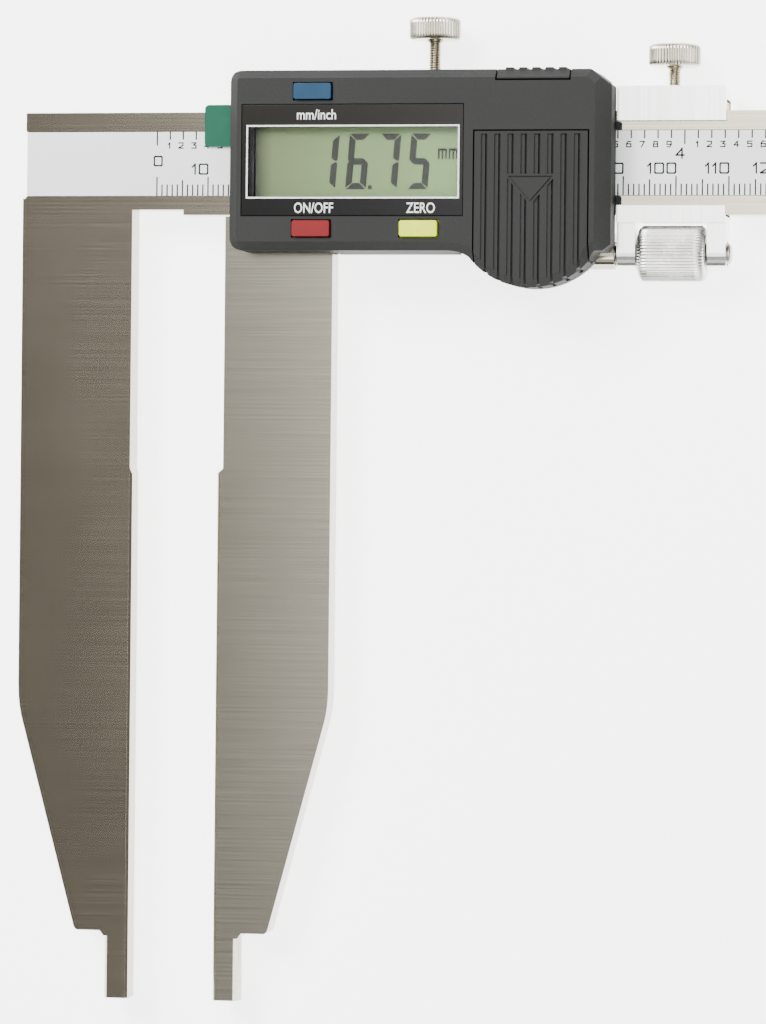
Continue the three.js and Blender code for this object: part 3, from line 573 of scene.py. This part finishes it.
def add_reading():
    """The LCD with the reading and its unit, written from right to left."""
    lcd_low, lcd_high = node_box("lcd_glass")
    face = block("lcd_panel", lcd_low, lcd_high, lcd_face())
    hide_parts("lcd_glass")
    digits = Sheet()
    z = lcd_high.z
    right = DIGIT_RIGHT
    for symbol in reversed(READING):
        if symbol == ".":
            x = right - POINT_SHIFT
            digits.bar(x - POINT_LEFT, x + POINT_RIGHT, DIGIT_BOTTOM, DIGIT_BOTTOM + POINT_HIGH, z)
            continue
        left = right - DIGIT_WIDE - DIGIT_LEAN * DIGIT_HIGH
        for bar in LIT_BARS[symbol]:
            outline = [(left + x + DIGIT_LEAN * y, DIGIT_BOTTOM + y) for x, y in bar_outline(bar)]
            if bar in "adg":              # made to face outwards; b, c, e and f face inwards
                outline.reverse()
            digits.polygon(outline, z)
        right -= DIGIT_STEP
    for left in UNIT_LETTERS:
        for leg in range(3):
            x = left + leg * LEG_STEP
            digits.bar(x - LEG_HALF, x + LEG_HALF, LEG_BOTTOM, LEG_TOP, z)
        digits.bar(left - LEG_HALF, left + 2 * LEG_STEP, ARCH_BOTTOM, ARCH_TOP, z)
    digits.make("lcd_digits", ink("dark_crystal", srgb(13, 15, 11)), "slider")


# ---- words by the buttons ------------------------------------------------------------------
WORD_BOLDNESS = 0.012                     # how much the outlines grow, at a text size of 1
WORDS = (                                 # piece, text, X from and to, Y from and to
    ("word_units", "mm/inch", (29.35, 36.85), (7.55, 9.5)),
    ("word_power", "ON/OFF", (28.95, 36.45), (-10.05, -8.05)),
    ("word_zero", "ZERO", (50.4, 55.9), (-10.05, -8.05)),
)


def lettering(name, text, across, up, z, material):
    """Printed text stretched to fill a box across X and up Y."""
    curve = bpy.data.curves.new(name, "FONT")
    curve.body = text
    curve.size = 1
    curve.offset = WORD_BOLDNESS
    curve.resolution_u = 4
    source = bpy.data.objects.new(name + "_source", curve)
    bpy.context.scene.collection.objects.link(source)
    bpy.context.view_layer.update()
    mesh = bpy.data.meshes.new_from_object(source)
    bpy.data.objects.remove(source)
    xs = [vertex.co.x for vertex in mesh.vertices]
    ys = [vertex.co.y for vertex in mesh.vertices]
    for vertex in mesh.vertices:
        x = across[0] + (vertex.co.x - min(xs)) / (max(xs) - min(xs)) * (across[1] - across[0])
        y = up[0] + (vertex.co.y - min(ys)) / (max(ys) - min(ys)) * (up[1] - up[0])
        vertex.co = at(x, y, z + INK)
    mesh.materials.clear()
    mesh.materials.append(material)
    made = bpy.data.objects.new(name, mesh)
    bpy.context.scene.collection.objects.link(made)
    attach(made, "slider")


def add_window_words():
    white = ink("white_lettering", srgb(226, 228, 224))
    for name, text, across, up in WORDS:
        lettering(name, text, across, up, WINDOW_HIGH.z, white)


# ---- knurls, threads and screws ------------------------------------------------------------
KNOB_FLUTES, NUT_FLUTES = 46, 52
POINTS_PER_FLUTE = 6
FLUTE_POWER = 0.7                         # below 1 the grooves are narrower than the ridges
KNOB_HEIGHT = 4.1
KNOB_CHAMFER, NUT_CHAMFER = 0.45, 0.6
CORE_RADIUS = 1.15                        # of a clamp screw's shank
NUT_BORE = 2.25
CLAMP_PITCH, FEED_PITCH = 0.45, 0.7
DOME_STEPS, DOME_DROP = 14, 0.35
HOUSING_SCREW = (1.7, 1, 0.95)            # head radius, head height, shank radius
END_STOP_SCREW = (2.3, 1.5, 1.1)


def knurl(count, depth, radius, chamfer):
    """Straight flutes that run out towards the chamfered ends."""
    def shape(point, turn):
        distance = math.hypot(point.x, point.y)
        if distance < radius - chamfer * 1.01:
            return point
        groove = abs(math.sin(turn * count / 2)) ** FLUTE_POWER
        cut = depth * (1 - groove) * min(1, (distance - radius + chamfer) / chamfer + 0.35)
        return Vector((point.x * (1 - cut / distance), point.y * (1 - cut / distance), point.z))
    return shape


def thread(radius, pitch, start, end):
    """A V thread of the given pitch between two heights."""
    depth = pitch * 0.5
    def shape(point, turn):
        distance = math.hypot(point.x, point.y)
        if distance < radius * 0.99 or not start <= point.z <= end:
            return point
        phase = (point.z / pitch - turn / (2 * math.pi)) % 1
        cut = depth * abs(2 * phase - 1)
        return Vector((point.x * (1 - cut / distance), point.y * (1 - cut / distance), point.z))
    return shape


def thumb_screw(node, body):
    """A clamp screw: a knurled knob with a hollow in its outer face, on a threaded shank."""
    low, high = node_box(node)
    centre = (low + high) / 2
    radius = (high.x - low.x) / 2
    knob_bottom = high.y - KNOB_HEIGHT - low.y
    knob_top = high.y - low.y
    plate = bright_plate(node + "_nickel", srgb(214, 208, 192), 0.2)
    place = (centre.x, low.y, centre.z)
    chamfer = KNOB_CHAMFER
    rows = [(0, knob_bottom), (1.2, knob_bottom), (radius - 1.5, knob_bottom),
            (radius - chamfer - 0.1, knob_bottom + 0.02), (radius - chamfer, knob_bottom + 0.05)]
    rows += [(radius, height) for height in evenly(knob_bottom + chamfer, knob_top - chamfer, 0.6)]
    rows += [(radius - chamfer, knob_top - 0.05), (radius - chamfer - 0.1, knob_top),
             (radius * 0.5, knob_top), (radius * 0.42, knob_top - 0.25), (0, knob_top - 0.25)]
    knob = turned(node + "_knob", rows, KNOB_FLUTES * POINTS_PER_FLUTE, place, (0, 1, 0), plate,
                  body, knurl(KNOB_FLUTES, 0.3, radius, chamfer))
    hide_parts(node)
    core = CORE_RADIUS
    rows = [(0, 0), (core - 0.4, 0)]
    rows += [(core, height) for height in evenly(0.35, knob_bottom - 0.5, 0.075)]
    rows += [(core + 0.35, knob_bottom - 0.25), (core + 0.35, knob_bottom + 0.1),
             (0, knob_bottom + 0.1)]
    turned(node + "_shank", rows, 32, place, (0, 1, 0),
           bright_plate(node + "_steel", srgb(170, 160, 136), 0.3), body,
           thread(core, CLAMP_PITCH, 0.4, knob_bottom - 0.6))


def along_x(node):
    """Start, radius and length of a round CAD node that lies along X."""
    low, high = node_box(node)
    place = (low.x, (low.y + high.y) / 2, (low.z + high.z) / 2)
    return place, (high.y - low.y) / 2, high.x - low.x


def feed_nut():
    place, radius, length = along_x("fine_feed_nut")
    bore, chamfer = NUT_BORE, NUT_CHAMFER
    rows = [(bore, length * 0.5), (bore, 0.3), (bore + 0.3, 0), (radius - 1.3, 0),
            (radius - chamfer, 0.25)]
    rows += [(radius, height) for height in evenly(chamfer + 0.3, length - chamfer - 0.3, 1.2)]
    rows += [(radius - chamfer, length - 0.25), (radius - 1.3, length), (bore + 0.3, length),
             (bore, length - 0.3), (bore, length * 0.5)]
    nut = turned("fine_feed_nut_knurled", rows, NUT_FLUTES * POINTS_PER_FLUTE, place, (1, 0, 0),
                 bright_plate("nut_nickel", srgb(228, 227, 222), 0.22), "feed_nut",
                 knurl(NUT_FLUTES, 0.32, radius, chamfer))
    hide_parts("fine_feed_nut")


def feed_rod():
    place, radius, length = along_x("fine_feed_rod")
    rows = [(0, 0), (radius - 0.5, 0)]
    rows += [(radius, height) for height in evenly(0.5, length - 0.5, 0.11)]
    rows += [(radius - 0.5, length), (0, length)]
    screw = turned("fine_feed_rod_threaded", rows, 40, place, (1, 0, 0),
                   bright_plate("rod_steel", srgb(186, 184, 176), 0.28), "slider",
                   thread(radius, FEED_PITCH, 0.6, length - 0.6))
    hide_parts("fine_feed_rod")


def cross_recess(reach, width, depth):
    """Sinks a cross into the end of a screw head that lies at height 0."""
    def shape(point, turn):
        along, aside = max(abs(point.x), abs(point.y)), min(abs(point.x), abs(point.y))
        if along < reach and aside < width / 2 and point.z < 0.02:
            return Vector((point.x, point.y, point.z + depth))
        return point
    return shape


def pan_screw(node, body, place, direction, sizes, length, steel):
    """A domed screw with a cross recess; place is the middle of its outer face."""
    head_radius, head_height, shank_radius = sizes
    dome = [(head_radius * step / DOME_STEPS, DOME_DROP * (step / DOME_STEPS) ** 4)
            for step in range(DOME_STEPS + 1)]
    rows = dome + [(head_radius, head_height), (shank_radius, head_height),
                   (shank_radius, length - 0.4), (shank_radius - 0.3, length), (0, length)]
    recess = cross_recess(head_radius * 0.62, head_radius * 0.3, head_height * 0.55)
    screw = turned(node + "_finished", rows, 64, place, direction, steel, body,
                   recess)
    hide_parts(node)


def add_screws():
    steel = bright_plate("screw_zinc", srgb(176, 177, 176), 0.3)
    for number in (1, 2, 3, 4):
        node = f"housing_screw_{number}"
        low, high = node_box(node)
        centre = (low + high) / 2
        pan_screw(node, "slider", (centre.x, centre.y, low.z), (0, 0, 1), HOUSING_SCREW,
                  high.z - low.z, steel)
    for number in (1, 2):
        node = f"end_stop_screw_{number}"
        low, high = node_box(node)
        centre = (low + high) / 2
        pan_screw(node, "beam", (high.x, centre.y, centre.z), (-1, 0, 0), END_STOP_SCREW,
                  high.x - low.x, steel)


# ---- back ----------------------------------------------------------------------------------
BORDER_INSET, BORDER_WIDTH = 1.6, 0.25
BORDER_BOTTOM, BORDER_TOP = 0.002, 0.006  # within the plate, whose underside is at 0


def add_back_print():
    """A plain ruled border that lies just inside the plate on the back, where it can't be seen."""
    low, high = node_box("back_label_plate")
    inset = Vector((BORDER_INSET, BORDER_INSET))
    outer_low, outer_high = low.xy + inset, high.xy - inset
    edge = Vector((BORDER_WIDTH, BORDER_WIDTH))
    ring_piece("back_border", outer_low, outer_high, outer_low + edge, outer_high - edge,
               BORDER_BOTTOM, BORDER_TOP, ink("border_ink", srgb(52, 54, 54)))


# ---- CAD nodes ------------------------------------------------------------------------------
def dress(node, material, bevel=0.0, segments=2):
    """Gives a CAD node a material and, where bevel is over 0, rounded edges."""
    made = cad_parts[node]
    for slot in made.material_slots:
        slot.material = material
    if bevel:
        bevelled(made, bevel, segments)


def dress_cad_nodes():
    # one ground steel in three brightnesses: the beam's darker, warmer copy is painted shade
    jaw = brushed_steel("jaw_steel_ground", srgb(170, 162, 147), "x", 0.14,
                        warm=srgb(158, 149, 133))
    slide = brushed_steel("slide_steel_ground", srgb(180, 176, 162), "x", 0.15,
                          warm=srgb(166, 160, 145))
    # painted highlight: the fine block's steel is near white
    painted_highlight_steel = brushed_steel("block_steel_ground", srgb(242, 242, 240), "y", 0.2)
    case = moulded_plastic("case_plastic_grained", srgb(45, 46, 45))
    brass = brushed_steel("gib_brass_scraped", srgb(196, 170, 104), "x", 0.4)
    board = circuit_board()
    black = smooth_plastic("black_moulding", srgb(26, 26, 28), 0.5)
    pads = smooth_plastic("connector_rubber", srgb(204, 168, 172), 0.75)
    gold = bright_plate("contact_gold", srgb(214, 186, 118), 0.25)
    steel = bright_plate("plain_steel", srgb(180, 180, 176), 0.3)
    can = bright_plate("cell_can", srgb(200, 200, 198), 0.25)
    back = brushed_steel("back_plate_satin", srgb(196, 198, 197), "x", 0.42)
    dress("beam_with_fixed_jaw", jaw, 0.18)
    dress("scale_circuit_strip", board)
    dress("scale_label", scale_foil())
    dress("end_stop_plate", slide, 0.3)
    dress("slider_frame", slide, 0.18)
    dress("housing", case, 0.3)
    dress("battery_lid", case, 0.12)
    dress("data_port_cover", case, 0.15)
    dress("back_label_plate", back, 0.08)
    dress("fine_block", painted_highlight_steel, 0.2)
    dress("slider_gib", brass, 0.1)
    dress("fine_block_gib", brass, 0.1)
    dress("rod_lock_nut", steel, 0.15)
    dress("coin_cell", can)
    dress("inspection_tab", smooth_plastic("tab_film", srgb(2, 82, 60), 0.4), 0.05)
    for node in ("reader_board", "main_board"):
        dress(node, board, 0.05)
    for node in ("lcd_frame", "data_port_connector", "tact_switch_units", "tact_switch_power",
                 "tact_switch_zero"):
        dress(node, black, 0.08)
    for node in ("zebra_strip_upper", "zebra_strip_lower"):
        dress(node, pads, 0.1)
    for node in ("battery_contact_negative", "battery_contact_positive"):
        dress(node, gold)
    for node in ("dust_wiper_upper", "dust_wiper_lower"):
        dress(node, smooth_plastic(node + "_rubber", srgb(30, 35, 38), 0.7), 0.1)
    for node in ("gib_set_screw_1", "gib_set_screw_2"):
        dress(node, steel, 0.08)
    for node, colour in (("units_button", srgb(10, 56, 84)), ("power_button", srgb(118, 14, 18)),
                         ("zero_button", srgb(222, 240, 52))):
        dress(node, smooth_plastic(node + "_plastic", colour, 0.42, 0.06), 0.3, 3)


# ---- light and floor -----------------------------------------------------------------------
FLOOR_HALF = 3
FLOOR_Z = -0.00005                        # just below the CAD box
FLOOR_GLOW = 3.6
SKY_TILT = (1, 0.2, 0)                    # across the ceiling, which gets brighter this way
SKY_DIM_EDGE, SKY_BRIGHT_EDGE = -0.2, -0.06
SKY_FAR_EDGE, SKY_END = 0.12, 0.55        # and dims again beyond these
SKY_FAR_LEVEL = 0.1
SKY_HALF_LENGTH, SKY_SPILL = 0.15, 0.6    # the same along Y, as the Y of a direction
SKY_SPILL_LEVEL = 0.3
SKY_HORIZON_LEVEL = 0.15
SKY_DIM = (0.14, 0.13, 0.11, 1)
SKY_BRIGHT = (8.0, 8.0, 8.0, 1)


def area_light(name, place, target, size, power):
    """A white rectangular light that shines from place towards target."""
    data = bpy.data.lights.new(name, "AREA")
    data.shape = "RECTANGLE"
    data.size, data.size_y = size
    data.energy = power
    light = bpy.data.objects.new(name, data)
    bpy.context.scene.collection.objects.link(light)
    light.location = place
    direction = Vector(target) - Vector(place)
    light.rotation_euler = direction.to_track_quat("-Z", "Y").to_euler()


def floor_paper():
    """White paper on a light table, so that it stays pale behind a dim object."""
    white = srgb(247, 247, 246)
    look = Look("floor_paper", white, 0.9,
                Emission_Color=(1, 1, 1, 1), Emission_Strength=FLOOR_GLOW)
    look.tint(look.blended(look.noise(6, 2), scaled(white, 0.98), white))
    return look.material


def add_floor():
    corners = ((-1, -1), (1, -1), (1, 1), (-1, 1))
    points = [(x * FLOOR_HALF, y * FLOOR_HALF, FLOOR_Z) for x, y in corners]
    mesh = bpy.data.meshes.new("floor")
    mesh.from_pydata(points, [], [(0, 1, 2, 3)])
    mesh.materials.append(floor_paper())
    floor = bpy.data.objects.new("floor", mesh)
    bpy.context.scene.collection.objects.link(floor)


def add_world():
    """A soft studio: a bright band of ceiling that dims towards -X, the far +X, both ends of Y
    and the horizon. Its strength is the product of one smooth ramp for each of these."""
    world = bpy.data.worlds.new("studio")
    world.use_nodes = True
    tree = world.node_tree
    background = tree.nodes["Background"]
    direction = tree.nodes.new("ShaderNodeTexCoord").outputs["Generated"]
    tilted = tree.nodes.new("ShaderNodeVectorMath")
    tilted.operation = "DOT_PRODUCT"
    tilted.inputs[1].default_value = SKY_TILT
    tree.links.new(direction, tilted.inputs[0])
    axes = tree.nodes.new("ShaderNodeSeparateXYZ")
    tree.links.new(direction, axes.inputs["Vector"])
    x, y, z = tilted.outputs["Value"], axes.outputs["Y"], axes.outputs["Z"]
    ramps = ((x, SKY_DIM_EDGE, SKY_BRIGHT_EDGE, 0, 1),
             (x, SKY_FAR_EDGE, SKY_END, 1, SKY_FAR_LEVEL),
             (y, SKY_HALF_LENGTH, SKY_SPILL, 1, SKY_SPILL_LEVEL),
             (y, -SKY_SPILL, -SKY_HALF_LENGTH, SKY_SPILL_LEVEL, 1),
             (z, 0, 1, SKY_HORIZON_LEVEL, 1))
    strength = None
    for value, start, end, low, high in ramps:
        ramp = tree.nodes.new("ShaderNodeMapRange")
        ramp.interpolation_type = "SMOOTHSTEP"
        ramp.inputs["From Min"].default_value = start
        ramp.inputs["From Max"].default_value = end
        ramp.inputs["To Min"].default_value = low
        ramp.inputs["To Max"].default_value = high
        tree.links.new(value, ramp.inputs["Value"])
        product = tree.nodes.new("ShaderNodeMath")
        product.operation = "MULTIPLY"
        product.inputs[1].default_value = 1
        tree.links.new(ramp.outputs["Result"], product.inputs[0])
        if strength:
            tree.links.new(strength, product.inputs[1])
        strength = product.outputs["Value"]
    colour = tree.nodes.new("ShaderNodeMix")
    colour.data_type = "RGBA"
    colour.clamp_factor = False
    colour.inputs[MIX_A].default_value = SKY_DIM
    colour.inputs[MIX_B].default_value = SKY_BRIGHT
    tree.links.new(strength, colour.inputs["Factor"])
    tree.links.new(colour.outputs[MIX_RESULT], background.inputs["Color"])
    bpy.context.scene.world = world


def add_studio():
    add_floor()
    add_world()
    area_light("key_softbox", (-0.75, 0.75, 1.15), (-0.12, 0, 0), (0.6, 0.6), 33)
    area_light("low_front_fill", (-0.2, -1.3, 0.8), (-0.1, 0, 0), (1.2, 0.5), 2)


add_camera()
add_studio()
dress_cad_nodes()
add_scale_marks()
add_window()
add_reading()
add_window_words()
thumb_screw("clamp_screw", "clamp")
thumb_screw("fine_clamp_screw", "feed_clamp")
feed_nut()
feed_rod()
add_screws()
add_back_print()
